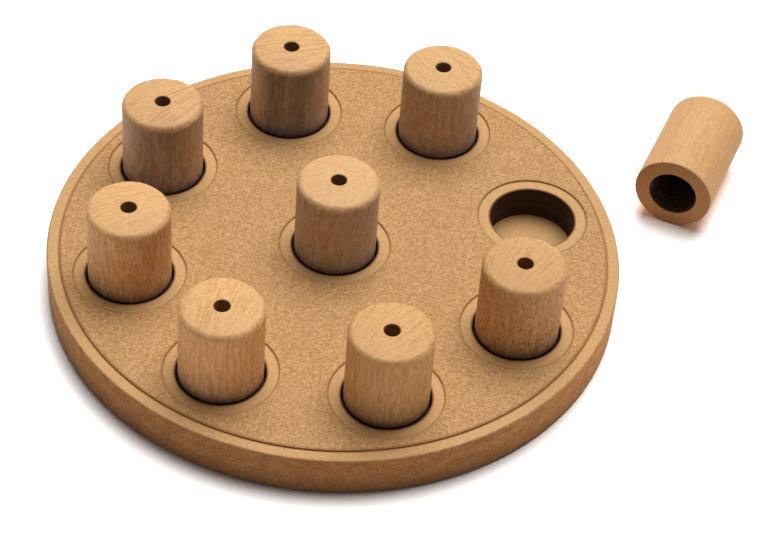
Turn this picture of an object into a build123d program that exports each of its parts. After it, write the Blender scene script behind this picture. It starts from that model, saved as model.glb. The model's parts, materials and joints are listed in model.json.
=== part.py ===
"""Dog puzzle feeder: a round fibreboard base with nine wells, nine hollow beech pegs and five pads.

Treats go into the wells, and each peg stands in a well as its lid. Millimetres, +Z up. The
origin is on the floor under the middle of the base, and +X runs through the open well, whose
peg has been pulled out and lies on the floor beside the base.
"""

import math
import os

from build123d import *

# Pegs: turned beech, drilled from below to cover a treat, with a small hole to sniff through.
peg_diameter = 39.5
peg_length = 60.0
peg_wall = 7.75
peg_cap = 12.0
peg_shoulder = 3.0
scent_hole_diameter = 7.5

# Base board: fibreboard with a ring of wells and one in the middle.
board_thickness = 22.0
well_floor = 4.0
well_clearance = 1.0
ring_radius = 100.0
ring_count = 8

# Shallow flat bands milled round each well and along the rim, below the board's face.
band_width = 6.0
band_depth = 0.8
rim_width = 5.8
rim_land = 5.45

# Pads: self-adhesive rubber discs under the board.
pad_diameter = 18.0
pad_thickness = 1.0
pad_inset = 12.0
pad_round = 0.3
rim_pad_count = 4

# Edges are only broken with sandpaper.
board_edge_round = 0.8
band_edge_break = 0.25
well_edge_break = 0.4
peg_edge_break = 0.5

# The loose peg lies on its side, clear of the base, with its mouth towards the open well.
loose_peg_gap = 18.2
loose_peg_bearing = 2.0
loose_peg_angle = 52.6

# What follows from them.
peg_radius = peg_diameter / 2
bore_radius = peg_radius - peg_wall
bore_depth = peg_length - peg_cap
scent_hole_radius = scent_hole_diameter / 2
well_radius = peg_radius + well_clearance
band_radius = well_radius + band_width
face_radius = ring_radius + band_radius + rim_land
board_radius = face_radius + rim_width
board_bottom = pad_thickness
board_top = board_bottom + board_thickness
band_top = board_top - band_depth
well_bottom = board_bottom + well_floor
pad_radius = pad_diameter / 2
pad_ring_radius = board_radius - pad_inset - pad_radius
well_pitch = 360 / ring_count
pad_pitch = 360 / rim_pad_count

os.makedirs("parts", exist_ok=True)


def on_circle(radius, degrees):
    """The x and y of a point on a circle round the middle of the base."""
    angle = math.radians(degrees)
    return radius * math.cos(angle), radius * math.sin(angle)


def make_peg(mouth):
    """A hollow peg. Its open end lies in the plane mouth, and the plane's normal runs to its cap."""
    along = Axis(mouth.origin, mouth.z_dir)
    with BuildPart() as peg:
        with BuildSketch(mouth):
            Circle(peg_radius)
        extrude(amount=peg_length)
        fillet(peg.faces().sort_by(along)[-1].edges(), peg_shoulder)
        with BuildSketch(mouth):
            Circle(bore_radius)
        extrude(amount=bore_depth, mode=Mode.SUBTRACT)
        chamfer(peg.faces().sort_by(along)[0].edges(), peg_edge_break)
        with BuildSketch(mouth):
            Circle(scent_hole_radius)
        extrude(amount=peg_length, mode=Mode.SUBTRACT)
        chamfer(peg.faces().sort_by(along)[-1].edges().sort_by(SortBy.RADIUS)[0], peg_edge_break)
    return peg.part


def export_piece(piece, name):
    """Labels a finished piece and writes it to its own file."""
    piece.label = name
    export_step(piece, f"parts/{name}.step")


# Base board: a disc with its rim and the surrounds of its wells milled down to the bands.
with BuildPart() as base_board:
    with BuildSketch(Plane.XY.offset(board_bottom)):
        Circle(board_radius)
    extrude(amount=band_top - board_bottom)
    fillet(base_board.edges(), board_edge_round)
    with BuildSketch(Plane.XY.offset(band_top)):
        Circle(face_radius)
        Circle(band_radius, mode=Mode.SUBTRACT)
        with PolarLocations(ring_radius, ring_count):
            Circle(band_radius, mode=Mode.SUBTRACT)
    extrude(amount=band_depth)
    chamfer(base_board.faces().sort_by(Axis.Z)[-1].edges(), band_edge_break)
    with BuildSketch(Plane.XY.offset(band_top)):
        Circle(well_radius)
        with PolarLocations(ring_radius, ring_count):
            Circle(well_radius)
    extrude(amount=well_bottom - band_top, mode=Mode.SUBTRACT)
    bands = base_board.faces().filter_by(Plane.XY).filter_by_position(Axis.Z, band_top, band_top)
    well_mouths = bands.edges().filter_by(lambda edge: abs(edge.radius - well_radius) < well_clearance)
    chamfer(well_mouths, well_edge_break)
export_piece(base_board.part, "base_board")

# Ring pegs: one in each well of the ring but the first, which is the open one on +X.
for number in range(1, ring_count):
    x, y = on_circle(ring_radius, number * well_pitch)
    export_piece(make_peg(Plane.XY.offset(well_bottom).move(Location((x, y, 0)))), f"ring_peg_{number}")

# Centre peg: in the well in the middle.
export_piece(make_peg(Plane.XY.offset(well_bottom)), "centre_peg")

# Loose peg: out of the open well, on its side on the floor.
x, y = on_circle(board_radius + loose_peg_gap + peg_radius, loose_peg_bearing)
loose_direction = Vector(*on_circle(1, loose_peg_angle))
export_piece(make_peg(Plane(origin=(x, y, peg_radius), z_dir=loose_direction)), "loose_peg")

# Pads: one in the middle and the rest near the rim, each between two wells of the ring.
pad_places = [(0, 0)]
pad_places += [on_circle(pad_ring_radius, (n + 0.5) * pad_pitch) for n in range(rim_pad_count)]
for number, (x, y) in enumerate(pad_places, start=1):
    with BuildPart() as pad:
        with BuildSketch(Plane(origin=(x, y, 0))):
            Circle(pad_radius)
        extrude(amount=pad_thickness)
        fillet(pad.edges().sort_by(Axis.Z)[0], pad_round)
    export_piece(pad.part, f"rubber_pad_{number}")
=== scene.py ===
# %% [markdown]
# # A treat puzzle for dogs
#
# The toy is a round fibreboard base with nine wells. Nine hollow beech pegs stand in the wells as
# lids over the treats, and a dog has to lift each peg to get at what is under it. One peg is
# already out and lies beside the base. Five thin rubber pads keep the base from sliding.
#
# The solids and their sizes come from the CAD model, which is loaded first and never moved. This
# script makes the looks: the milled and sanded surfaces, the wood, the light and the camera.

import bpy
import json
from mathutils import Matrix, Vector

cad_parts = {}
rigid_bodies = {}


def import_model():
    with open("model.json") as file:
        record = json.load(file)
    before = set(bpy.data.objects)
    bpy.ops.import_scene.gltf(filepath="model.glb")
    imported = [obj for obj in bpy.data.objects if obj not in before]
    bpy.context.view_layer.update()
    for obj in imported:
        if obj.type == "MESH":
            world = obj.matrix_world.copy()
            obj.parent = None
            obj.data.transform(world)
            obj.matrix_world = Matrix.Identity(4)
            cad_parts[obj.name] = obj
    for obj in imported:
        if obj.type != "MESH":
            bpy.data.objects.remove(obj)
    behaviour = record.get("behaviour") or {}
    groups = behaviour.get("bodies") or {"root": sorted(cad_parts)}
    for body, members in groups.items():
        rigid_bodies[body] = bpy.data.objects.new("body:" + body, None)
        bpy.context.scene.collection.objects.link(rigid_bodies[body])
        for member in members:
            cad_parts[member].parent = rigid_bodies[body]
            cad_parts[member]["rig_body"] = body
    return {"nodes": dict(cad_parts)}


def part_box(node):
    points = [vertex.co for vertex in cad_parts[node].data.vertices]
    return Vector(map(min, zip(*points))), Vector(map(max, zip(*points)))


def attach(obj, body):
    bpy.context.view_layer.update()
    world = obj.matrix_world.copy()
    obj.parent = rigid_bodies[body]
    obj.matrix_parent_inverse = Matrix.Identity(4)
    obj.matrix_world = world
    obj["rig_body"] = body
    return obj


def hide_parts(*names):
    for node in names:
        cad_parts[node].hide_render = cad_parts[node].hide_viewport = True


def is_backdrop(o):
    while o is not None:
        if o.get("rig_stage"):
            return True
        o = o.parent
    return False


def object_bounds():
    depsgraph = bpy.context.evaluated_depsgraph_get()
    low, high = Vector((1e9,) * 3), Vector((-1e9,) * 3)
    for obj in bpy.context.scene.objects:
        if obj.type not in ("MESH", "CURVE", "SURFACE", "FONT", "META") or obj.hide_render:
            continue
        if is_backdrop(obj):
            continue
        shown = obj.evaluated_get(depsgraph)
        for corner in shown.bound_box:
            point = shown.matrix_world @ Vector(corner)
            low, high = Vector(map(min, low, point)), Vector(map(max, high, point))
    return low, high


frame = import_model()
cad_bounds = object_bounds()

# %% Blender's own modules
import json
import math
from collections import namedtuple

import bmesh
import bpy
from mathutils import Matrix, Vector

mm = 0.001

# %% [markdown]
# ## Sizes
#
# A workshop drawing gives each size once. Here the outer sizes are read from the frame, so that the
# pieces fit it, and the sizes inside a piece, which a box can't show, are written out: the widths
# of the milled bands, the broken edges and the drilled holes.
#
# The shoulder of a standing peg is given before it is sanded. The loose peg lies on its side and
# reaches the side of its box with its shoulder, so it gets a rounder one, to stay inside. The tops
# of all pegs are slightly domed: the crown is how far the dome has dropped at the peg's edge.

# %% Sizes read from the frame
board_low, board_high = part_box("base_board")
board_radius = (board_high.x - board_low.x) / 2
board_bottom, board_face = board_low.z, board_high.z

peg_low, peg_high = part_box("centre_peg")
peg_radius = (peg_high.x - peg_low.x) / 2
peg_length = peg_high.z - peg_low.z
well_bottom = peg_low.z

pad_low, pad_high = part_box("rubber_pad_1")
pad_radius = (pad_high.x - pad_low.x) / 2
pad_thickness = pad_high.z - pad_low.z

print(f"board {board_radius / mm:.1f} mm in radius, peg {peg_length / mm:.1f} mm long")

# %% Sizes inside the pieces
ring_radius = 100 * mm
ring_count = 8
well_radius = peg_radius + 1 * mm
well_edge_break = 0.4 * mm
band_radius = well_radius + 6 * mm
band_depth = 0.8 * mm
band_height = board_face - band_depth
band_edge_break = 0.25 * mm
face_radius = board_radius - 5.8 * mm
board_edge_round = 0.8 * mm

peg_shoulder = 2.4 * mm
loose_peg_shoulder = 3.1 * mm
peg_crown = 1.1 * mm
peg_edge_break = 0.5 * mm
bore_radius = 12 * mm
bore_depth = 48 * mm
scent_hole_radius = 3.75 * mm
pad_round = 0.3 * mm

print(f"{ring_count} wells of {2 * well_radius / mm:.1f} mm on a ring of {2 * ring_radius / mm:.0f} mm")

# %% [markdown]
# ## A pen for profiles
#
# All the pieces are turned or milled round, so each one is a profile, the outline of half its
# section, swept about an axis. A profile is given by its corners alone, with the rounding of each.
# The pen draws the rounding as an arc. Beside each arc it sets one more point, close by, so that
# the smooth shading of the arc doesn't spread over the flat next to it.
#
# Each corner also says how worn its edge is, how the stretch after it was made, milled with a
# router or sawn, and how much painted shade it gets where shade falls. Those marks pass from one
# stretch to the next along the corner's arc, and wear is strongest in the middle of the arc. A
# corner without a rounding is a single point, and marks run evenly from the point before it to its own.

# %% Corner and pen
# One mark is painted shade: brown, then black, where shade falls in hollows, gaps and creases.
Corner = namedtuple("Corner", "radius height rounding worn milled scorched sawn", defaults=(0, 0, 0, 0, 0))
marks = ("worn", "milled", "scorched", "sawn")
arc_step = math.radians(11.25)
hold = 0.2 * mm


def rounded(before, corner, after):
    """A corner's points, each with its wear and with how far along the arc it is."""
    here = Vector((corner.radius, corner.height))
    back = (Vector((before.radius, before.height)) - here).normalized()
    ahead = (Vector((after.radius, after.height)) - here).normalized()
    half_angle = back.angle(ahead) / 2
    tangent = corner.rounding / math.tan(half_angle)
    centre = here + (back + ahead).normalized() * corner.rounding / math.sin(half_angle)
    spoke = here + back * tangent - centre
    turn = spoke.angle_signed(here + ahead * tangent - centre)
    steps = max(3, math.ceil(abs(turn) / arc_step))
    yield here + back * (tangent + hold), 0, 0
    for step in range(steps + 1):
        share = step / steps
        spin = Matrix.Rotation(-turn * share, 2)
        yield centre + spin @ spoke, corner.worn * 4 * share * (1 - share), share
    yield here + ahead * (tangent + hold), 0, 1


def draw_profile(name, corners, closed=False):
    """A mesh of points along a profile, in the XZ plane, with what each point is as attributes."""
    points = []
    for number, corner in enumerate(corners):
        before = corners[number - 1]
        after = corners[(number + 1) % len(corners)]
        if corner.rounding:
            for place, worn, share in rounded(before, corner, after):
                milled = before.milled + (corner.milled - before.milled) * share
                scorched = before.scorched + (corner.scorched - before.scorched) * share
                sawn = before.sawn + (corner.sawn - before.sawn) * share
                points.append((place.x, place.y, worn, milled, scorched, sawn))
        else:
            points.append(tuple(corner[:2] + corner[3:]))
    if closed:
        points.append(points[0])
    mesh = bpy.data.meshes.new(name)
    edges = [(n, n + 1) for n in range(len(points) - 1)]
    mesh.from_pydata([(x, 0, z) for x, z, *_ in points], edges, [])
    for column, label in enumerate(marks, start=2):
        attribute = mesh.attributes.new(label, "FLOAT", "POINT")
        attribute.data.foreach_set("value", [point[column] for point in points])
    print(f"profile {name}: {len(corners)} corners, {len(points)} points")
    return mesh


# %% [markdown]
# ## Helpers for node trees
#
# Shapes and materials are both node trees here. A node is added with its inputs in one call, and an
# input is either a value or the output of another node.

# %% Node helpers
def add(tree, kind, inputs=None, **settings):
    """Adds a node. An input is named, or numbered where names repeat."""
    node = tree.nodes.new(kind)
    for name, value in settings.items():
        setattr(node, name, value)
    for name, value in (inputs or {}).items():
        if isinstance(value, bpy.types.NodeSocket):
            tree.links.new(value, node.inputs[name])
        else:
            node.inputs[name].default_value = value
    return node


def calc(tree, operation, *values):
    """One step of arithmetic."""
    return add(tree, "ShaderNodeMath", dict(enumerate(values)), operation=operation).outputs[0]


def arrow(tree, operation, *values):
    """One step of arithmetic on vectors."""
    return add(tree, "ShaderNodeVectorMath", dict(enumerate(values)), operation=operation).outputs[0]


def ease(tree, value, zero_at, one_at):
    """0 on the side of zero_at, 1 on the side of one_at, and a smooth slope between them."""
    limits = {"Value": value, "From Min": zero_at, "From Max": one_at}
    return add(tree, "ShaderNodeMapRange", limits, interpolation_type="SMOOTHSTEP").outputs[0]


def noise(tree, at, scale, detail=2.0, roughness=0.5):
    """Soft random values about 0.5, with scale spots to the metre."""
    inputs = {"Vector": at, "Scale": scale, "Detail": detail, "Roughness": roughness}
    return add(tree, "ShaderNodeTexNoise", inputs).outputs["Fac"]


def add_group(tree, group, inputs):
    """Uses one tree inside another and returns its result."""
    return add(tree, "GeometryNodeGroup", inputs, node_tree=group).outputs[0]


def shape_tree(name, sockets):
    """A Geometry Nodes tree with named inputs: the tree, its inputs and its output."""
    tree = bpy.data.node_groups.new(name, "GeometryNodeTree")
    tree.interface.new_socket("Geometry", in_out="OUTPUT", socket_type="NodeSocketGeometry")
    for label, kind in {"Geometry": "Geometry", **sockets}.items():
        tree.interface.new_socket(label, in_out="INPUT", socket_type="NodeSocket" + kind)
    given = tree.nodes.new("NodeGroupInput").outputs
    result = tree.nodes.new("NodeGroupOutput").inputs["Geometry"]
    return tree, given, result


# %% [markdown]
# A material could be one large tree drawn by hand. Here it begins with the bare stuff and is then
# tinted step by step, by what the tools did to it, by what use has left and by painted light and
# shade. Each step mixes a second colour in by a share, and the shares come from noise or from the
# marks that the piece carries at each point. So a step can be read, changed or left out by itself.
#
# Shade in hollows, gaps and creases is painted into the colour by one mark: up to a half it
# browns the colour, and above that it turns it black.


# %% Material helpers
dull_specular = 0.3


def new_material(name):
    """A new material without nodes, and its tree."""
    material = bpy.data.materials.new(name)
    material.use_nodes = True
    material.node_tree.nodes.clear()
    return material, material.node_tree


def tint(tree, share, under, over, strength=None):
    """Two colours mixed by a share, or by a part of it."""
    if strength is not None:
        share = calc(tree, "MULTIPLY", share, strength)
    mixer = tree.nodes.new("ShaderNodeMix")
    mixer.data_type = "RGBA"
    for socket, value in ((mixer.inputs[0], share), (mixer.inputs[6], under), (mixer.inputs[7], over)):
        if isinstance(value, bpy.types.NodeSocket):
            tree.links.new(value, socket)
        else:
            socket.default_value = value if isinstance(value, float) else (*value, 1)
    return mixer.outputs[2]


def times(tree, colour, factors):
    """A colour, darker or paler by a factor for each of its parts."""
    return arrow(tree, "MULTIPLY", colour, factors)


def shade(tree, share, colour, factors, strength=None):
    """A colour, darker or paler by its factors where the share is high."""
    return tint(tree, share, colour, times(tree, colour, factors), strength)


def contrast(tree, share, colour, low_factors, high_factors):
    """A colour with one set of factors where the share is low and another where it is high."""
    return tint(tree, share, times(tree, colour, low_factors), times(tree, colour, high_factors))


def mark(tree, label):
    """A number that the piece carries at each point."""
    return add(tree, "ShaderNodeAttribute", attribute_name=label).outputs["Fac"]


def paint_shade(tree, colour, brown_shade, black_shade):
    """Painted shade: it turns the colour brown first, and black only where the shade is deep."""
    shade_depth = calc(tree, "MULTIPLY", mark(tree, "scorched"), 2)
    browned = tint(tree, calc(tree, "MINIMUM", shade_depth, 1), colour, brown_shade)
    return tint(tree, calc(tree, "MAXIMUM", calc(tree, "SUBTRACT", shade_depth, 1), 0), browned, black_shade)


def finish_material(material, colour, roughness, relief, depth, specular):
    """The end of each material: one shader, with the surface's relief as bump."""
    tree = material.node_tree
    bump = add(tree, "ShaderNodeBump", {"Height": relief, "Distance": depth}).outputs["Normal"]
    inputs = {"Base Color": colour, "Roughness": roughness, "Normal": bump}
    shader = add(tree, "ShaderNodeBsdfPrincipled", {**inputs, "Specular IOR Level": specular})
    add(tree, "ShaderNodeOutputMaterial", {"Surface": shader.outputs["BSDF"]})
    print(f"material {material.name}: {len(tree.nodes)} nodes")


# %% [markdown]
# ## A lathe
#
# A lathe turns a profile about the Z axis. The Screw modifier could do it, or Curve to Mesh. Here it
# is a grid with one row for each point of the profile: each vertex looks up its row's point and
# is turned by its column's angle. So the attributes of the profile come along, and the tree can be
# used inside other trees. It also keeps where each point was on the profile, as "cutter", because a
# tool leaves its marks along that line.

# %% The lathe tree
lathe_weld = 0.002 * mm
lathe, given, result = shape_tree("lathe", {"Segments": "Int"})

profile_points = add(lathe, "GeometryNodeAttributeDomainSize", {"Geometry": given["Geometry"]})
rows = profile_points.outputs["Point Count"]
columns = calc(lathe, "ADD", given["Segments"], 1)
sheet = add(lathe, "GeometryNodeMeshGrid", {"Vertices X": columns, "Vertices Y": rows}).outputs["Mesh"]
index = add(lathe, "GeometryNodeInputIndex").outputs["Index"]
row = calc(lathe, "MODULO", index, rows)
column = calc(lathe, "FLOOR", calc(lathe, "DIVIDE", index, rows))
angle = calc(lathe, "MULTIPLY", column, calc(lathe, "DIVIDE", -math.tau, given["Segments"]))


def from_profile(value, data_type):
    """What the profile has at this vertex's row."""
    inputs = {"Geometry": given["Geometry"], "Value": value, "Index": row}
    return add(lathe, "GeometryNodeSampleIndex", inputs, data_type=data_type).outputs["Value"]


cutter = from_profile(add(lathe, "GeometryNodeInputPosition").outputs["Position"], "FLOAT_VECTOR")
turned = add(lathe, "ShaderNodeVectorRotate", {"Vector": cutter, "Angle": angle}, rotation_type="Z_AXIS")
carried = {"cutter": ("FLOAT_VECTOR", cutter)}
for label in marks:
    found = add(lathe, "GeometryNodeInputNamedAttribute", {"Name": label}, data_type="FLOAT")
    carried[label] = ("FLOAT", from_profile(found.outputs["Attribute"], "FLOAT"))
for label, (data_type, value) in carried.items():
    inputs = {"Geometry": sheet, "Name": label, "Value": value}
    sheet = add(lathe, "GeometryNodeStoreNamedAttribute", inputs, data_type=data_type).outputs["Geometry"]
inputs = {"Geometry": sheet, "Position": turned.outputs[0]}
sheet = add(lathe, "GeometryNodeSetPosition", inputs).outputs[0]
sheet = add(lathe, "GeometryNodeMergeByDistance", {"Geometry": sheet, "Distance": lathe_weld}).outputs[0]
lathe.links.new(sheet, result)
print(f"tree {lathe.name}: {len(lathe.nodes)} nodes")

# %% [markdown]
# ## Sandpaper
#
# No edge of a wooden toy is perfect: sandpaper takes a little more here and less there, and use
# knocks small chips out. A bump in the material would only shade the edge and leave its outline
# perfect. So each vertex that is marked as worn moves inwards, by a slow noise for the sanding
# and a fast one for the chips. It only ever moves inwards, as real wear does, so the piece stays
# inside its CAD box. Each seed reads the noise a metre further up, so each piece wears in its own
# way.

# %% The sandpaper tree
sander, given, result = shape_tree("sanded_edges", {"Depth": "Float", "Seed": "Float"})
sanding_waves = 150
chip_spots = 900
sanding_share = 0.6

place = add(sander, "GeometryNodeInputPosition").outputs["Position"]
place = arrow(sander, "ADD", place, add(sander, "ShaderNodeCombineXYZ", {"Z": given["Seed"]}).outputs[0])
waves = ease(sander, noise(sander, place, sanding_waves), 0.3, 0.7)
chips = ease(sander, noise(sander, place, chip_spots), 0.5, 0.75)
waves = calc(sander, "MULTIPLY", waves, sanding_share)
chips = calc(sander, "MULTIPLY", chips, 1 - sanding_share)
worn = add(sander, "GeometryNodeInputNamedAttribute", {"Name": "worn"}, data_type="FLOAT")
depth = calc(sander, "MULTIPLY", worn.outputs["Attribute"], given["Depth"])
depth = calc(sander, "MULTIPLY", depth, calc(sander, "ADD", waves, chips))
normal = add(sander, "GeometryNodeInputNormal").outputs["Normal"]
inputs = {0: normal, "Scale": calc(sander, "MULTIPLY", depth, -1)}
inward = add(sander, "ShaderNodeVectorMath", inputs, operation="SCALE")
inputs = {"Geometry": given["Geometry"], "Offset": inward.outputs[0]}
sander.links.new(add(sander, "GeometryNodeSetPosition", inputs).outputs[0], result)
print(f"tree {sander.name}: {len(sander.nodes)} nodes")

# %% [markdown]
# ## From tree to piece
#
# A tree works as a modifier on the profile. Its inputs are set by their identifiers before it is
# evaluated, the result becomes a plain mesh, and the modifier goes. Two of the numbers that are
# printed are tests: without open edges the mesh is closed, and with a volume above zero its faces
# look outwards.


# %% Making and measuring
def finish_tree(tree, geometry, material, result):
    """The end of each shape tree: smooth, real and with its material."""
    smooth = add(tree, "GeometryNodeSetShadeSmooth", {"Geometry": geometry}).outputs[0]
    real = add(tree, "GeometryNodeRealizeInstances", {"Geometry": smooth}).outputs[0]
    dressed = add(tree, "GeometryNodeSetMaterial", {"Geometry": real, "Material": material})
    tree.links.new(dressed.outputs[0], result)


def make_piece(name, profile, tree, sizes):
    """Runs a tree on a profile and returns the finished piece."""
    piece = bpy.data.objects.new(name, profile.copy())
    bpy.context.scene.collection.objects.link(piece)
    maker = piece.modifiers.new("maker", "NODES")
    maker.node_group = tree
    for item in tree.interface.items_tree:
        if item.in_out == "INPUT" and item.name in sizes:
            maker[item.identifier] = sizes[item.name]
    depsgraph = bpy.context.evaluated_depsgraph_get()
    made = piece.evaluated_get(depsgraph)
    mesh = bpy.data.meshes.new_from_object(made, preserve_all_data_layers=True, depsgraph=depsgraph)
    piece.modifiers.clear()
    piece.data = mesh
    mesh.name = name
    return piece


def measure(piece):
    """Prints how many faces a piece has, its open edges and its volume."""
    probe = bmesh.new()
    probe.from_mesh(piece.data)
    open_edges = sum(not edge.is_manifold for edge in probe.edges)
    volume = probe.calc_volume(signed=True) / mm**3
    print(f"{piece.name}: {len(probe.faces)} faces, {open_edges} open edges, {volume:.0f} mm3")
    probe.free()


def dress(piece, node):
    """The piece rides on its node's body and stands for the node."""
    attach(piece, frame["nodes"][node]["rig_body"])
    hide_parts(node)
    measure(piece)


# %% [markdown]
# ## Fibreboard
#
# Fibreboard is wood ground to fibres, felted and pressed with glue. It has no grain: its face is
# a fine felt of pale and dark fibres, a millimetre or two long, that lie every way. An image of
# felt would repeat and blur when it is seen close up. Noise doesn't, so the felt is three layers
# of noise that is stretched into short strokes, each layer turned a third of the way round. Where
# any of the three is high there is a pale fibre, and where any of them is low a dark one. A fine
# mottle lies under the fibres and broad clouds lie over them. All of these are given as spots to
# the metre, because Object coordinates are in metres.

# %% Fibreboard: the felt
cloud_spots, mottle_spots, stroke_spots = 90, 800, 1100
stroke_shape = (1.8, 0.7, 1)
felt_dark, felt_pale = (0.445, 0.224, 0.070), (0.67, 0.40, 0.180)
dark_fibre, pale_fibre, fibre_strength = (0.26, 0.11, 0.026), (0.82, 0.55, 0.29), 0.6
cloud, cloud_strength = (0.44, 0.235, 0.080), 0.18

board_stuff, tree = new_material("fibreboard")


def felt_strokes(at, turn):
    """Short strokes that all lie one way."""
    stretch = {"Vector": at, "Rotation": (0, 0, turn), "Scale": stroke_shape}
    stretched = add(tree, "ShaderNodeMapping", stretch, vector_type="TEXTURE").outputs["Vector"]
    return noise(tree, stretched, stroke_spots, detail=1)


place = add(tree, "ShaderNodeTexCoord").outputs["Object"]
clouds = ease(tree, noise(tree, place, cloud_spots), 0.35, 0.65)
mottle = noise(tree, place, mottle_spots, detail=3, roughness=0.65)
strokes = [felt_strokes(place, math.tau / 3 * n) for n in range(3)]
highest = calc(tree, "MAXIMUM", calc(tree, "MAXIMUM", strokes[0], strokes[1]), strokes[2])
lowest = calc(tree, "MINIMUM", calc(tree, "MINIMUM", strokes[0], strokes[1]), strokes[2])
pale_fibres = ease(tree, highest, 0.62, 0.76)
dark_fibres = ease(tree, lowest, 0.36, 0.22)

felt = tint(tree, ease(tree, mottle, 0.3, 0.7), felt_dark, felt_pale)
felt = tint(tree, pale_fibres, felt, pale_fibre, fibre_strength)
felt = tint(tree, dark_fibres, felt, dark_fibre, fibre_strength)
felt = tint(tree, clouds, felt, cloud, cloud_strength)
print(f"felt: {len(strokes)} layers of strokes")

# %% [markdown]
# Where a router has milled the board it is smoother and more even, with faint rings from the
# cutter. The rings are noise on the cutter's own line, so they run round each well by themselves.
#
# The rim of the board is sawn. There the fibres are cut across, so it has no strokes, its mottle
# is stronger and darker, and the layers of the pressing show as uneven level bands. The side
# towards the open well is painted lighter and the other side darker: painted light and painted
# shade. Near the floor the rim is darker, painted shade in uneven bands, less so on the lighter side.

# %% Fibreboard: milled and sawn
ring_spots, layer_spots, layer_squeeze = 2600, 140, (1, 1, 1.6)
milled_dark, milled_pale = (0.585, 0.328, 0.125), (0.705, 0.422, 0.186)
cutter_ring, ring_strength = (0.51, 0.28, 0.104), 0.12
sawn_dark, sawn_pale = (0.40, 0.192, 0.066), (0.66, 0.341, 0.139)
dark_layer, pale_layer = (0.86, 0.82, 0.78), (1.07, 1.08, 1.09)
# Painted light and shade: the rim is paler on one side and darker on the other.
shady_side, sunny_side = (0.86, 0.86, 0.86), (1.25, 1.25, 1.18)
# Painted shade: the rim darkens towards the floor.
floor_shade, floor_shade_top, floor_shade_full = (0.60, 0.60, 0.66), 15 * mm, 1 * mm
lit_side_spares = 0.5

cutter_line = add(tree, "ShaderNodeAttribute", attribute_name="cutter").outputs["Vector"]
rings = noise(tree, cutter_line, ring_spots, detail=1)
milled_felt = tint(tree, ease(tree, mottle, 0.25, 0.75), milled_dark, milled_pale)
milled_felt = tint(tree, ease(tree, rings, 0.4, 0.6), milled_felt, cutter_ring, ring_strength)

layers = noise(tree, arrow(tree, "MULTIPLY", place, layer_squeeze), layer_spots)
sawn = tint(tree, ease(tree, mottle, 0.27, 0.73), sawn_dark, sawn_pale)
sawn = contrast(tree, ease(tree, layers, 0.35, 0.65), sawn, dark_layer, pale_layer)
across, _, height = add(tree, "ShaderNodeSeparateXYZ", {0: place}).outputs
# Painted light: 0 in the middle of the board, 1 at the edge of its lighter side.
lit_side = ease(tree, across, 0, board_radius)
sawn = contrast(tree, lit_side, sawn, shady_side, sunny_side)
# Painted shade near the floor, in uneven bands, less on the lighter side.
floor_shaded = calc(tree, "MULTIPLY", ease(tree, height, floor_shade_top, floor_shade_full), ease(tree, layers, 0.1, 0.6))
away_from_lit_side = calc(tree, "SUBTRACT", 1, calc(tree, "MULTIPLY", lit_side, lit_side_spares))
sawn = shade(tree, calc(tree, "MULTIPLY", floor_shaded, away_from_lit_side), sawn, floor_shade)
print(f"milled and sawn board: {len(tree.nodes)} nodes so far")

# %% [markdown]
# Deep in a well the wall is painted black, and the floor darkens towards it: painted shade in the
# recess. The lip of each well and the steps beside the wells and the rim get a brown painted shade,
# which is why each step shows as a fine line. The relief is the felt's own, and it is lower where
# the board is milled.

# %% Fibreboard: painted shade, and finished
# Colours of painted shade: black deep in the wells, brown at the steps, lips and lower edge.
shade_black_spots = 700
shade_black_dark, shade_black_pale = (0.022, 0.009, 0.004), (0.055, 0.025, 0.011)
shade_brown_felt = (0.25, 0.084, 0.011)
milled_smooths = 0.6
ring_relief = 0.3
felt_relief = 0.03 * mm
felt_roughness, milled_gloss = 0.82, 0.12

shade_black = tint(tree, ease(tree, noise(tree, cutter_line, shade_black_spots), 0.35, 0.65), shade_black_dark, shade_black_pale)
milled = mark(tree, "milled")
colour = tint(tree, milled, felt, milled_felt)
colour = tint(tree, mark(tree, "sawn"), colour, sawn)
# Painted shade, where the profile's mark is high.
colour = paint_shade(tree, colour, shade_brown_felt, shade_black)

rough_share = calc(tree, "SUBTRACT", 1, calc(tree, "MULTIPLY", milled, milled_smooths))
relief = calc(tree, "MULTIPLY", rough_share, calc(tree, "ADD", mottle, pale_fibres))
cutter_relief = calc(tree, "MULTIPLY", calc(tree, "MULTIPLY", milled, rings), ring_relief)
relief = calc(tree, "ADD", relief, cutter_relief)
roughness = calc(tree, "SUBTRACT", felt_roughness, calc(tree, "MULTIPLY", milled, milled_gloss))
finish_material(board_stuff, colour, roughness, relief, felt_relief, dull_specular)

# %% [markdown]
# ## Beech
#
# Beech is a pale pinkish brown wood with a fine, even grain. What tells it from other woods is its
# rays: thin sheets of cells that run out from the heart of the tree. Where a peg's side cuts
# across them they are short dark dashes, where it runs along them they are wide flakes, and
# on the end grain they are fine lines. An image of wood, wrapped round a peg, wouldn't fit where
# its side meets its end. So the wood is made as the tree is, in three directions: away from the
# heart, round it and up the trunk. Each peg carries its own place in the trunk as an attribute,
# "grain", and one material then gives nine different pegs.

# %% Beech: directions in the trunk
heart = (-70 * mm, -25 * mm, 0)
year_ring = 3.1 * mm
ring_sway, sway_spots, sway_stretch = 2.5 * mm, 45, (1, 1, 0.25)

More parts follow.
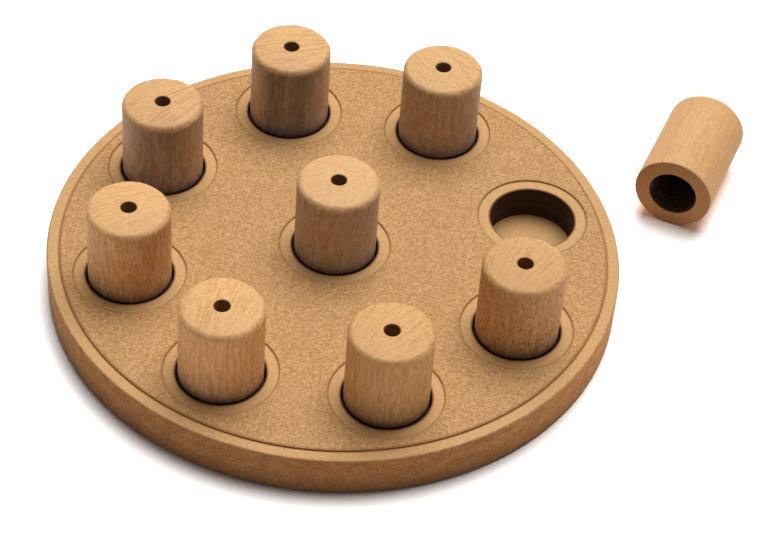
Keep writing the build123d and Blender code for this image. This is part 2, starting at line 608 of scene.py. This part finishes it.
peg_wood, tree = new_material("beech")
grain = add(tree, "ShaderNodeAttribute", attribute_name="grain").outputs["Vector"]
sway = noise(tree, arrow(tree, "MULTIPLY", grain, sway_stretch), sway_spots, detail=1)
from_heart = add(tree, "ShaderNodeSeparateXYZ", {0: arrow(tree, "SUBTRACT", grain, heart)}).outputs
squares = [calc(tree, "POWER", from_heart[n], 2) for n in range(2)]
outwards = calc(tree, "SQRT", calc(tree, "ADD", *squares))
swayed = calc(tree, "ADD", outwards, calc(tree, "MULTIPLY", sway, ring_sway))
bearing = calc(tree, "ARCTAN2", from_heart[1], from_heart[0])
round_heart = calc(tree, "MULTIPLY", bearing, Vector(heart).length)


def wood_texture(kind, spots):
    """A texture with its spots to the metre away from the heart, round it and up the trunk."""
    trunk_axes = (swayed, round_heart, from_heart[2])
    parts = [calc(tree, "MULTIPLY", axis, count) for axis, count in zip(trunk_axes, spots)]
    stretched = add(tree, "ShaderNodeCombineXYZ", dict(enumerate(parts))).outputs[0]
    return add(tree, kind, {"Vector": stretched, "Scale": 1.0}).outputs


def wood_noise(spots):
    """Soft random values, stretched along the trunk."""
    return wood_texture("ShaderNodeTexNoise", spots)["Fac"]


print(f"the heart of the tree is {Vector(heart).length / mm:.0f} mm from the middle of the wood")

# %% [markdown]
# Three noises make the grain: fibres, longer threads and broad streaks. Fibres and threads together
# are the figure. Late wood, the end of each year's ring, is darker, by another amount each year.
# The rays are cells of a Voronoi texture, and only some of them are dark.

# %% Beech: rings, fibres and rays
fibre_spots, thread_spots, streak_spots = (620, 620, 260), (760, 760, 70), (230, 230, 25)
ray_spots = (600, 1200, 280)

years = calc(tree, "DIVIDE", swayed, year_ring)
year = {"W": calc(tree, "FLOOR", years)}
year_strength = add(tree, "ShaderNodeTexWhiteNoise", year, noise_dimensions="1D").outputs["Value"]
late_wood = calc(tree, "MULTIPLY", ease(tree, calc(tree, "FRACT", years), 0.55, 0.95), year_strength)

fibres = wood_noise(fibre_spots)
threads = wood_noise(thread_spots)
streaks = ease(tree, wood_noise(streak_spots), 0.35, 0.65)
figure = ease(tree, calc(tree, "ADD", fibres, threads), 0.68, 1.32)
figure = calc(tree, "MULTIPLY", calc(tree, "SUBTRACT", figure, 0.5), mark(tree, "figure"))
figure = calc(tree, "ADD", 0.5, figure)

ray_cells = wood_texture("ShaderNodeTexVoronoi", ray_spots)
ray_pick = add(tree, "ShaderNodeSeparateColor", {"Color": ray_cells["Color"]}).outputs["Red"]
ray_shape = ease(tree, ray_cells["Distance"], 0.48, 0.20)
rays = calc(tree, "MULTIPLY", ray_shape, ease(tree, ray_pick, 0.1, 0.6))
rays = calc(tree, "MULTIPLY", rays, mark(tree, "rays"))
print(f"grain: {len(tree.nodes)} nodes so far")

# %% [markdown]
# No two dowels have the same colour. The tone runs from fresh and pale, by way of an even brown,
# to grey, and it is partly painted light and shade: the dowels at the front, in the light, are
# paler, those at the back, whose fronts are in shade, greyer. The figure makes a side darker or
# paler, and the other marks only darken it. Some dowels are painted darker on one side, painted
# shade with a border that is ragged along the streaks.

# %% Beech: the colour of a side
# The grey end of the tone is partly painted shade.
fresh, even, grey_shaded = (0.90, 0.53, 0.235), (0.70, 0.39, 0.16), (0.54, 0.40, 0.28)
dark_figure, pale_figure = (0.87, 0.80, 0.69), (1.13, 1.22, 1.40)
streak_shade, streak_strength = (0.93, 0.86, 0.80), 0.4
late_shade, late_strength = (0.86, 0.80, 0.72), 0.25
ray_shade, ray_strength = (0.47, 0.31, 0.17), 0.8
# Painted shade on one side of a dowel.
side_shade_factors = (0.47, 0.56, 0.76)

tone = mark(tree, "tone")
wood = tint(tree, ease(tree, tone, 0, 0.5), fresh, even)
wood = tint(tree, ease(tree, tone, 0.5, 1), wood, grey_shaded)
wood = contrast(tree, figure, wood, dark_figure, pale_figure)
wood = shade(tree, streaks, wood, streak_shade, streak_strength)
wood = shade(tree, late_wood, wood, late_shade, late_strength)
wood = shade(tree, rays, wood, ray_shade, ray_strength)
ragged = calc(tree, "ADD", 0.7, calc(tree, "MULTIPLY", streaks, 0.6))
# Painted shade on one side, ragged along the streaks.
wood = shade(tree, calc(tree, "MULTIPLY", mark(tree, "heart"), ragged), wood, side_shade_factors)
print(f"sides: {len(tree.nodes)} nodes so far")

# %% [markdown]
# The ends are sanded smooth and pale, and a few are duller than the rest. On some the sander has
# left lines along the rays. Where an edge was rounded, fibres were torn out, and it is speckled.

# %% Beech: sanded ends and torn edges
end_dark, end_pale = (0.722, 0.397, 0.157), (0.826, 0.477, 0.205)
bright_end, dull_end = (1.05, 1.06, 1.06), (0.82, 0.79, 0.74)
end_strength = 0.85
line_spots, torn_spots = (70, 800, 60), 1200
line_shade = torn_shade = (0.80, 0.72, 0.62)
torn_strength = 0.8

end = tint(tree, ease(tree, fibres, 0.25, 0.75), end_dark, end_pale)
end = contrast(tree, mark(tree, "dull"), end, bright_end, dull_end)
end_lines = calc(tree, "MULTIPLY", ease(tree, wood_noise(line_spots), 0.48, 0.66), mark(tree, "lines"))
end = shade(tree, end_lines, end, line_shade)
wood = tint(tree, mark(tree, "milled"), wood, end, end_strength)
torn_fibres = ease(tree, noise(tree, grain, torn_spots), 0.5, 0.62)
torn = calc(tree, "MULTIPLY", torn_fibres, mark(tree, "worn"))
wood = shade(tree, torn, wood, torn_shade, torn_strength)
print(f"ends: {len(tree.nodes)} nodes so far")

# %% [markdown]
# A standing peg has shade painted round its foot, where it stands in its well. Just at the lip it
# has a thin dark line, painted shade in the gap. Round that line it is painted darker, and for 2 cm
# above it faintly greyer, both painted shade. The heights are measured along the peg's own
# profile, so the marks go with a peg that is lifted. The loose peg has none: its amount is 0.

# %% Beech: painted shade at the lip
# Painted shade round the foot of a standing peg.
foot_shade_bottom = 9 * mm
grey_foot_top, grey_foot_full = 20 * mm, 4 * mm
dark_foot_top = 7 * mm
line_top, line_bottom, line_foot, line_blur = 0.3 * mm, 1.2 * mm, 2.8 * mm, 0.3 * mm
grey_foot_shade = (0.84, 0.91, 1.10)
dark_foot_shade, dark_foot_strength = (0.50, 0.54, 0.70), 0.85
soot, lip_line_strength = (0.018, 0.007, 0.004), 0.9

cutter_line = add(tree, "ShaderNodeAttribute", attribute_name="cutter").outputs["Vector"]
from_axis, _, above_foot = add(tree, "ShaderNodeSeparateXYZ", {0: cutter_line}).outputs
above_lip = calc(tree, "SUBTRACT", above_foot, band_height - well_bottom)


def between(foot, full_from, full_to, top):
    """The dowel's painted shade between two heights above the lip, easing to 0 at a foot and a top."""
    rise = ease(tree, above_lip, foot, full_from)
    fall = ease(tree, above_lip, top, full_to)
    return calc(tree, "MULTIPLY", calc(tree, "MULTIPLY", rise, fall), mark(tree, "soot"))


# Painted shade: greyer and darker round the foot, and a dark line in the gap.
wood = shade(tree, between(-foot_shade_bottom, 0, grey_foot_full, grey_foot_top), wood, grey_foot_shade)
wood = shade(tree, between(-foot_shade_bottom, 0, 0, dark_foot_top), wood, dark_foot_shade, dark_foot_strength)
lip_line = between(-line_foot, -line_bottom, -line_blur, line_top)
wood = tint(tree, lip_line, wood, soot, lip_line_strength)
print(f"the lip is {(band_height - well_bottom) / mm:.1f} mm above the foot of a peg")

# %% [markdown]
# The bore is painted black, and the scent hole and the foot brown: painted shade in the hollows
# and at the foot. At the end comes the relief, from the fibres, the rays, which lie a little lower,
# and a dome. The dome adds to the shading of the top, which is slightly domed as a shape too.

# %% Beech: painted shade, and finished
# Colours of painted shade: black in the bore, brown at the scent hole and the foot.
shade_black_spots = 500
shade_black_dark, shade_black_pale = (0.045, 0.020, 0.010), (0.10, 0.045, 0.020)
shade_brown_wood = (0.30, 0.145, 0.06)
fibre_relief, ray_relief, dome_relief = 0.6, 0.4, 90
wood_relief = 0.015 * mm
wood_roughness, fibre_roughness = 0.55, 0.15

shade_black = tint(tree, ease(tree, noise(tree, grain, shade_black_spots), 0.35, 0.65), shade_black_dark, shade_black_pale)
# Painted shade, where the profile's mark is high.
colour = paint_shade(tree, wood, shade_brown_wood, shade_black)
relief = calc(tree, "MULTIPLY", fibres, fibre_relief)
relief = calc(tree, "SUBTRACT", relief, calc(tree, "MULTIPLY", rays, ray_relief))
dome = calc(tree, "POWER", calc(tree, "DIVIDE", from_axis, peg_radius), 2)
relief = calc(tree, "SUBTRACT", relief, calc(tree, "MULTIPLY", dome, dome_relief))
roughness = calc(tree, "ADD", wood_roughness, calc(tree, "MULTIPLY", fibres, fibre_roughness))
finish_material(peg_wood, colour, roughness, relief, wood_relief, dull_specular)

# %% [markdown]
# ## Rubber
#
# The pads are soft black rubber with a matt moulded skin. Black rubber is never quite black: dust
# and wear leave it dark grey, a little paler in spots. Only the edges of the pads ever show, so
# two noises are enough, one for the dust and one for the skin.

# %% Rubber
dust_spots, skin_spots = 350, 5000
clean_rubber, dusty_rubber = (0.018, 0.017, 0.016), (0.05, 0.047, 0.043)
rubber_roughness, dust_roughness = 0.7, 0.2
skin_relief = 0.05 * mm
rubber_specular = 0.4

pad_rubber, tree = new_material("rubber")
place = add(tree, "ShaderNodeTexCoord").outputs["Object"]
dust = noise(tree, place, dust_spots, detail=4)
skin = noise(tree, place, skin_spots, detail=1)
colour = tint(tree, ease(tree, dust, 0.4, 0.7), clean_rubber, dusty_rubber)
roughness = calc(tree, "ADD", rubber_roughness, calc(tree, "MULTIPLY", dust, dust_roughness))
finish_material(pad_rubber, colour, roughness, skin, skin_relief, rubber_specular)

# %% [markdown]
# ## Turned pieces
#
# Pegs and pads are both round about one axis, so one tree makes both. It turns the profile, sands
# it and stores the place of the piece in its trunk. That place is shifted and turned at random,
# from the piece's own seed.
#
# Nine materials could make nine different dowels. Here the tree stores what the one material has
# to know of a dowel: its tone, which is partly painted light and shade, how strong its figure,
# rays and end lines are, how dull its ends and how much painted shade its foot gets. Some dowels
# are painted darker on one side, so that amount falls off with the angle from that side.

# %% The tree of a turned piece
wood_marks = ("tone", "figure", "rays", "lines", "dull", "soot")
turned_piece, given, result = shape_tree(
    "turned_piece",
    {
        "Segments": "Int",
        "Depth": "Float",
        "Seed": "Int",
        "Material": "Material",
        **dict.fromkeys(wood_marks + ("heart", "heart_side"), "Float"),
    },
)
trunk = (20 * mm, 20 * mm, 300 * mm)
# How the painted shade on one side fades with the angle from that side.
side_shade_edge, side_shade_full = 0.55, 0.98


def store(shape, label, value, data_type="FLOAT"):
    """The shape, with a value stored at each point."""
    inputs = {"Geometry": shape, "Name": label, "Value": value}
    stored = add(turned_piece, "GeometryNodeStoreNamedAttribute", inputs, data_type=data_type)
    return stored.outputs["Geometry"]


inputs = {"Geometry": given["Geometry"], "Segments": given["Segments"]}
shape = add_group(turned_piece, lathe, inputs)
inputs = {"Geometry": shape, "Depth": given["Depth"], "Seed": given["Seed"]}
shape = add_group(turned_piece, sander, inputs)

# %% What a turned piece carries
inputs = {0: Vector(trunk) * -1, 1: trunk, "ID": given["Seed"]}
shift = add(turned_piece, "FunctionNodeRandomValue", inputs, data_type="FLOAT_VECTOR").outputs[0]
inputs = {3: math.tau, "ID": given["Seed"], "Seed": 1}
spin = add(turned_piece, "FunctionNodeRandomValue", inputs, data_type="FLOAT").outputs[1]
place = add(turned_piece, "GeometryNodeInputPosition").outputs["Position"]
inputs = {"Vector": place, "Angle": spin}
spun = add(turned_piece, "ShaderNodeVectorRotate", inputs, rotation_type="Z_AXIS").outputs[0]
shape = store(shape, "grain", arrow(turned_piece, "ADD", spun, shift), "FLOAT_VECTOR")
for label in wood_marks:
    shape = store(shape, label, given[label])

# Painted shade on one side of the dowel, by its angle about the axis.
x, y, _ = add(turned_piece, "ShaderNodeSeparateXYZ", {0: place}).outputs
off_side = calc(turned_piece, "SUBTRACT", calc(turned_piece, "ARCTAN2", y, x), given["heart_side"])
painted_side_shade = ease(turned_piece, calc(turned_piece, "COSINE", off_side), side_shade_edge, side_shade_full)
shape = store(shape, "heart", calc(turned_piece, "MULTIPLY", painted_side_shade, given["heart"]))
finish_tree(turned_piece, shape, given["Material"], result)
print(f"tree {turned_piece.name}: {len(turned_piece.nodes)} nodes")

# %% [markdown]
# ## Pegs
#
# A peg is a length of beech dowel. Its bore is drilled from below, a thin hole goes through the cap
# for the scent, and the shoulder is rounded on a belt sander, which leaves it a little uneven. It
# could be cut from a cylinder with two Booleans and a bevel. But all of it is round about one
# axis, so one profile holds all of it, with a few more points for the dome of the top.

# %% The peg's profile
inner_corner = 0.3 * mm
support = 1.5 * mm
dome_points = (0.4, 0.6)


def domed(radius):
    """The height of a peg's top at a distance from its middle."""
    return peg_length - peg_crown * (radius / peg_radius) ** 2


def peg_corners(shoulder):
    """The corners of a peg's section, from the scent hole's edge outwards, down and up the bore."""
    flat = peg_radius - shoulder - support
    top = [Corner(peg_radius * part, domed(peg_radius * part), milled=1) for part in dome_points]
    return [
        Corner(scent_hole_radius, domed(scent_hole_radius), peg_edge_break, worn=0.4, milled=1),
        *top,
        Corner(flat, domed(flat), milled=1),
        Corner(peg_radius, domed(peg_radius), shoulder, worn=1, milled=0.5),
        Corner(peg_radius, peg_length - shoulder - support),
        Corner(peg_radius, support),
        # Painted shade at the foot, in the bore and at the scent hole.
        Corner(peg_radius, 0, peg_edge_break, worn=0.4, milled=1, scorched=0.29),
        Corner(bore_radius, 0, peg_edge_break, worn=0.4, scorched=1),
        Corner(bore_radius, bore_depth, inner_corner, scorched=1),
        Corner(scent_hole_radius, bore_depth, inner_corner, scorched=0.4),
    ]


peg_profile = draw_profile("peg_profile", peg_corners(peg_shoulder), closed=True)
loose_peg_profile = draw_profile("loose_peg_profile", peg_corners(loose_peg_shoulder), closed=True)

# %% [markdown]
# Each dowel has its own numbers. The tone goes from 0, fresh and pale, to 1, grey, and is partly
# painted light and shade. The others are strengths from 0 to 1. The side of the painted shade is an
# angle about the peg's axis.

# %% Nine dowels
Dowel = namedtuple(
    "Dowel",
    "tone rays lines dull figure soot heart heart_side",
    defaults=(1.0, 1.0, 0.0, 0.0),
)
# A dowel's tone is partly painted light and shade: paler at the front, greyer at the back.
dowels = {
    "ring_peg_1": Dowel(tone=0.85, rays=0.45, lines=0.65, dull=0.2, figure=0.9),
    # These dowels get painted shade on one side.
    "ring_peg_2": Dowel(tone=0.8, rays=0.3, lines=1.0, dull=0.1, heart=1.0, heart_side=math.radians(257)),
    "ring_peg_3": Dowel(tone=0.8, rays=0.4, lines=0.8, dull=0.3, heart=0.65, heart_side=math.radians(257)),
    "ring_peg_4": Dowel(tone=0.2, rays=0.5, lines=0.55, dull=0.1, heart=0.3, heart_side=math.radians(297)),
    "ring_peg_5": Dowel(tone=0.0, rays=0.2, lines=0.9, dull=0.1),
    "ring_peg_6": Dowel(tone=0.35, rays=0.3, lines=0.7, dull=0.4),
    "ring_peg_7": Dowel(tone=0.6, rays=1.0, lines=0.6, dull=0.75),
    "centre_peg": Dowel(tone=0.9, rays=0.35, lines=0.3, dull=0.0, figure=0.8),
    "loose_peg": Dowel(tone=0.4, rays=0.15, lines=0.3, dull=0.2, figure=0.45, soot=0.0),
}
print(f"{len(dowels)} dowels, {sum(dowel.heart > 0 for dowel in dowels.values())} with heartwood")

# %% [markdown]
# A standing peg takes its place from its own box in the frame. The loose one lies on its side, so
# its box doesn't say which way it points: its place is given as on the drawing, by the gap to the
# board, the bearing from the middle of the board and its own heading.

# %% Nine pegs
peg_segments = 192
peg_sanding = 0.4 * mm
loose_peg_gap = 18.2 * mm
loose_peg_bearing = math.radians(2)
loose_peg_angle = math.radians(52.6)
standing_pegs = [f"ring_peg_{number}" for number in range(1, ring_count)] + ["centre_peg"]


def standing_place(node):
    """Where a peg or pad stands: on the middle of its box, with its foot at the box's bottom."""
    low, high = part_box(node)
    return Matrix.Translation(((low.x + high.x) / 2, (low.y + high.y) / 2, low.z))


def lying_place():
    """Where the loose peg lies: its mouth beside the board, its cap pointing away."""
    reach = board_radius + loose_peg_gap + peg_radius
    mouth = Vector((reach * math.cos(loose_peg_bearing), reach * math.sin(loose_peg_bearing), peg_radius))
    tipped = Matrix.Rotation(loose_peg_angle, 4, "Z") @ Matrix.Rotation(math.pi / 2, 4, "Y")
    return Matrix.Translation(mouth) @ tipped


def make_peg(node, profile, where, seed):
    """Turns one peg and puts it in its place."""
    sizes = {"Segments": peg_segments, "Depth": peg_sanding, "Seed": seed, "Material": peg_wood}
    sizes.update(dowels[node]._asdict())
    peg = make_piece(f"finished_{node}", profile, turned_piece, sizes)
    peg.data.transform(where)
    dress(peg, node)


for seed, node in enumerate(standing_pegs, start=1):
    make_peg(node, peg_profile, standing_place(node), seed)
make_peg("loose_peg", loose_peg_profile, lying_place(), ring_count + 1)

# %% [markdown]
# ## Pads
#
# Each pad is a thin disc, punched from a rubber sheet and stuck under the board. A plain cylinder
# would have an edge too sharp to catch any light, so the pads are turned from a profile too.

# %% Five pads
pad_count = 5
pad_segments = 96
pad_top_round = 0.1 * mm
pad_corners = [
    Corner(0, pad_thickness),
    Corner(pad_radius, pad_thickness, pad_top_round),
    Corner(pad_radius, 0, pad_round),
    Corner(0, 0),
]
pad_profile = draw_profile("pad_profile", pad_corners)

for number in range(1, pad_count + 1):
    node = f"rubber_pad_{number}"
    sizes = {"Segments": pad_segments, "Depth": 0.0, "Seed": number, "Material": pad_rubber}
    pad = make_piece(f"finished_{node}", pad_profile, turned_piece, sizes)
    pad.data.transform(standing_place(node))
    dress(pad, node)

# %% [markdown]
# ## The board
#
# The board follows a rule: one well in the middle and the same well again at even steps round a
# ring. Nine Booleans could cut the wells, but they leave long thin faces, and the shading of the
# edges suffers. So the tree turns a well once and sets it on a circle of points, turns the rim,
# and fills the face between them. The circles that bound the face have as many points as the
# lathe has columns, so the three parts meet point to point and merge into one closed skin. It is
# sanded only then, so that no two wells have the same chips.

# %% The tree of the board
board_weld = 0.01 * mm
board_sockets = {
    "Well profile": "Object",
    "Ring radius": "Float",
    "Ring count": "Int",
    "Face height": "Float",
    "Face radius": "Float",
    "Surround radius": "Float",
    "Rim segments": "Int",
    "Well segments": "Int",
    "Depth": "Float",
    "Material": "Material",
}
milled_board, given, result = shape_tree("milled_board", board_sockets)


# %% Helpers for the board
def joined(*parts):
    """Several geometries as one."""
    join = milled_board.nodes.new("GeometryNodeJoinGeometry")
    for part in parts:
        milled_board.links.new(part, join.inputs[0])
    return join.outputs[0]


def at_each_well(shape):
    """The shape at every place where there is a well."""
    ring = {"Vertices": given["Ring count"], "Radius": given["Ring radius"]}
    circle = add(milled_board, "GeometryNodeMeshCircle", ring).outputs[0]
    middle = add(milled_board, "GeometryNodePoints", {"Count": 1}).outputs[0]
    inputs = {"Points": joined(circle, middle), "Instance": shape}
    copies = add(milled_board, "GeometryNodeInstanceOnPoints", inputs).outputs[0]
    return add(milled_board, "GeometryNodeRealizeInstances", {"Geometry": copies}).outputs[0]


def circle_curve(points, radius):
    """A circle as a curve."""
    inputs = {"Resolution": points, "Radius": radius}
    return add(milled_board, "GeometryNodeCurvePrimitiveCircle", inputs).outputs[0]


# %% Rim, wells and face
rim = add_group(milled_board, lathe, {"Geometry": given["Geometry"], "Segments": given["Rim segments"]})
outline = add(milled_board, "GeometryNodeObjectInfo", {"Object": given["Well profile"]})
inputs = {"Geometry": outline.outputs["Geometry"], "Segments": given["Well segments"]}
well = add_group(milled_board, lathe, inputs)
edges = joined(
    circle_curve(given["Rim segments"], given["Face radius"]),
    at_each_well(circle_curve(given["Well segments"], given["Surround radius"])),
)
face = add(milled_board, "GeometryNodeFillCurve", {"Curve": edges}).outputs[0]
lift = add(milled_board, "ShaderNodeCombineXYZ", {"Z": given["Face height"]}).outputs[0]
face = add(milled_board, "GeometryNodeTransform", {"Geometry": face, "Translation": lift}).outputs[0]
inputs = {"Geometry": joined(rim, at_each_well(well), face), "Distance": board_weld}
skin = add(milled_board, "GeometryNodeMergeByDistance", inputs).outputs[0]
skin = add_group(milled_board, sander, {"Geometry": skin, "Depth": given["Depth"], "Seed": 0.0})
finish_tree(milled_board, skin, given["Material"], result)
print(f"tree {milled_board.name}: {len(milled_board.nodes)} nodes")

# %% [markdown]
# The rim's profile starts on the face, a margin inside its step, and ends in the middle of the
# underside. A well's profile starts in the middle of its floor and ends on the face, a margin
# outside its step. The painted shade of a step begins a little beside it and is strongest at its
# corners. The lower edge of the rim and the underside next to it are darker by the same mark:
# painted shade where the board stands on the floor.

# %% The board's two profiles
face_margin = 1.4 * mm
# How far the painted shade beside a step reaches.
step_corner = 0.1 * mm
shade_hold = 0.4 * mm
shade_width = 0.9 * mm

# Painted shade at the step and along the lower edge and underside.
rim_corners = [
    Corner(face_radius - face_margin, board_face),
    Corner(face_radius - shade_width, board_face, scorched=0.25),
    Corner(face_radius, board_face, band_edge_break, worn=0.6, milled=1, scorched=0.46),
    Corner(face_radius, band_height, step_corner, milled=1, scorched=0.2),
    Corner(face_radius + shade_width, band_height, milled=1),
    Corner(board_radius, band_height, board_edge_round, worn=1, sawn=1),
    Corner(board_radius, band_height - board_edge_round - support, sawn=1),
    Corner(board_radius, board_bottom + board_edge_round + support, sawn=1),
    Corner(board_radius, board_bottom, board_edge_round, worn=1, sawn=1, scorched=0.7),
    Corner(0, board_bottom),
]
# Painted shade on the well's floor, wall and lip, and at its step.
well_corners = [
    Corner(0, well_bottom, milled=1, scorched=0.1),
    Corner(well_radius, well_bottom, inner_corner, scorched=1),
    Corner(well_radius, band_height, well_edge_break, worn=1, milled=1, scorched=0.45),
    Corner(well_radius + well_edge_break + shade_width, band_height, milled=1),
    Corner(band_radius - shade_width, band_height, milled=1),
    Corner(band_radius - shade_hold, band_height, milled=1, scorched=0.2),
    Corner(band_radius, band_height, step_corner, milled=1, scorched=0.36),
    Corner(band_radius, board_face, band_edge_break, worn=0.6, scorched=0.14),
    Corner(band_radius + shade_width, board_face),
    Corner(band_radius + face_margin, board_face),
]
well_outline = bpy.data.objects.new("well_outline", draw_profile("well_profile", well_corners))
bpy.context.scene.collection.objects.link(well_outline)

# %% The board
rim_segments = 480
well_segments = 128
board_sanding = 0.35 * mm
sizes = {
    "Well profile": well_outline,
    "Ring radius": ring_radius,
    "Ring count": ring_count,
    "Face height": board_face,
    "Face radius": face_radius - face_margin,
    "Surround radius": band_radius + face_margin,
    "Rim segments": rim_segments,
    "Well segments": well_segments,
    "Depth": board_sanding,
    "Material": board_stuff,
}
rim_profile = draw_profile("rim_profile", rim_corners)
board = make_piece("finished_base_board", rim_profile, milled_board, sizes)
bpy.data.objects.remove(well_outline)
dress(board, "base_board")

# %% [markdown]
# ## Floor
#
# The toy stands on a plain white floor. A floor that is pure white to the camera has to be a little
# brighter than paper. More light would do that, but it would bleach the toy, and a brighter floor
# would throw its extra light up at it. So the floor's colour depends on the ray: warm paper for the
# light that bounces, and a brighter white for what is seen, also in gloss. Far out the lamp's light
# fades, so what is seen there is brighter still, and the floor meets the white of the world
# without a line.


# %% What the camera sees
def seen(tree):
    """1 for rays from the camera, also by way of gloss or glass, and 0 for the others."""
    path = add(tree, "ShaderNodeLightPath").outputs
    direct = calc(tree, "MAXIMUM", path["Is Camera Ray"], path["Is Glossy Ray"])
    return calc(tree, "MAXIMUM", direct, path["Is Transmission Ray"])


# %% The floor
paper = (1.0, 0.81, 0.65)
paper_seen = (1.8, 1.8, 1.8)
paper_far = (40.0, 40.0, 40.0)
near_edge, far_edge = 0.7, 3.0
floor_size = 8.0

floor_paint, tree = new_material("floor_paint")
place = add(tree, "ShaderNodeTexCoord").outputs["Object"]
distance = add(tree, "ShaderNodeVectorMath", {0: place}, operation="LENGTH").outputs["Value"]
floor_seen = tint(tree, ease(tree, distance, near_edge, far_edge), paper_seen, paper_far)
floor_colour = tint(tree, seen(tree), paper, floor_seen)
matt_paint = add(tree, "ShaderNodeBsdfDiffuse", {"Color": floor_colour}).outputs["BSDF"]
add(tree, "ShaderNodeOutputMaterial", {"Surface": matt_paint})

probe = bmesh.new()
bmesh.ops.create_grid(probe, x_segments=1, y_segments=1, size=floor_size / 2)
floor_mesh = bpy.data.meshes.new("floor")
probe.to_mesh(floor_mesh)
probe.free()
floor_mesh.materials.append(floor_paint)
floor = bpy.data.objects.new("floor", floor_mesh)
bpy.context.scene.collection.objects.link(floor)
floor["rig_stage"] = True
print(f"floor: {floor_size:.0f} m wide")

# %% [markdown]
# ## World
#
# To the camera the world is plain white. To the toy it is a ceiling, a weak light that is strongest
# from overhead and nothing from the sides. That and what the floor returns are all that the shaded
# sides of the pegs get. An even world would light them from every side, and they would look flat.

# %% The world
sky_light = 0.16
world = bpy.data.worlds.new("studio")
world.use_nodes = True
tree = world.node_tree
tree.nodes.clear()
heading = add(tree, "ShaderNodeTexCoord").outputs["Generated"]
upwards = add(tree, "ShaderNodeSeparateXYZ", {0: heading}).outputs[2]
ceiling = calc(tree, "MULTIPLY", calc(tree, "POWER", calc(tree, "MAXIMUM", upwards, 0), 2), sky_light)
strength = calc(tree, "MAXIMUM", ceiling, seen(tree))
sky = add(tree, "ShaderNodeBackground", {"Color": (1, 1, 1, 1), "Strength": strength}).outputs[0]
add(tree, "ShaderNodeOutputWorld", {"Surface": sky})
bpy.context.scene.world = world
print(f"world: {sky_light:.0%} of white straight overhead")

# %% [markdown]
# ## Lamp
#
# One large soft lamp stands behind the toy, high up, as a window would: the tops of the pegs are
# bright, their fronts are in shade, and soft shadows fall towards the viewer. A small lamp would
# make hard ones. The lamp's power is worked out from its place, so that a white floor under it
# gives back the wanted share of white, wherever the lamp is put.

# %% The lamp
lamp_heading = math.radians(55)
lamp_height = math.radians(70)
lamp_distance = 2.8
lamp_size = 2.2
lamp_share = 1.06

lamp_way = Vector((
    math.cos(lamp_height) * math.cos(lamp_heading),
    math.cos(lamp_height) * math.sin(lamp_heading),
    math.sin(lamp_height),
))
lamp = bpy.data.objects.new("window_lamp", bpy.data.lights.new("window_lamp", "AREA"))
lamp.data.shape = "DISK"
lamp.data.size = lamp_size
lamp.data.energy = lamp_share * math.pi**2 * lamp_distance**2 / lamp_way.z
lamp_turn = lamp_way.to_track_quat("Z", "Y").to_matrix().to_4x4()
lamp.matrix_world = Matrix.Translation(lamp_way * lamp_distance) @ lamp_turn
bpy.context.scene.collection.objects.link(lamp)
print(f"lamp: {lamp.data.energy:.1f} W")

# %% [markdown]
# ## Camera
#
# A long lens from well above: it looks down at 44 degrees, and the toy keeps its shape. A short
# lens would stand close by, and the near pegs would look much larger than the far ones.

# %% The camera
camera_place = Vector((-0.23375, -0.81066, 0.8361))
camera_heading = math.radians(-17.96)
camera_pitch = math.radians(44.487)
camera_roll = math.radians(4.9)
camera_lens, camera_sensor = 112.0, 36.0

camera = bpy.data.objects.new("camera", bpy.data.cameras.new("camera"))
camera.data.lens = camera_lens
camera.data.sensor_width = camera_sensor
aim = Matrix.Rotation(camera_heading, 4, "Z") @ Matrix.Rotation(math.pi / 2 - camera_pitch, 4, "X")
camera.matrix_world = Matrix.Translation(camera_place) @ aim @ Matrix.Rotation(camera_roll, 4, "Z")
bpy.context.scene.collection.objects.link(camera)
bpy.context.scene.camera = camera
print(f"camera: {camera_lens:.0f} mm lens, {camera_place.length:.2f} m from the toy")

# %% [markdown]
# ## Finish
#
# The view is shown without a film look, so that colours come out as they are written. The boxes of
# the CAD model and of the dressed one are measured and put side by side.

# %% Finish
bpy.context.scene.view_settings.view_transform = "Standard"
for data in (peg_profile, loose_peg_profile, pad_profile):
    bpy.data.meshes.remove(data)

visual_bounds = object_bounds()
boxes = {"cad": cad_bounds, "visual": visual_bounds}
{name: [list(corner) for corner in box] for name, box in boxes.items()}
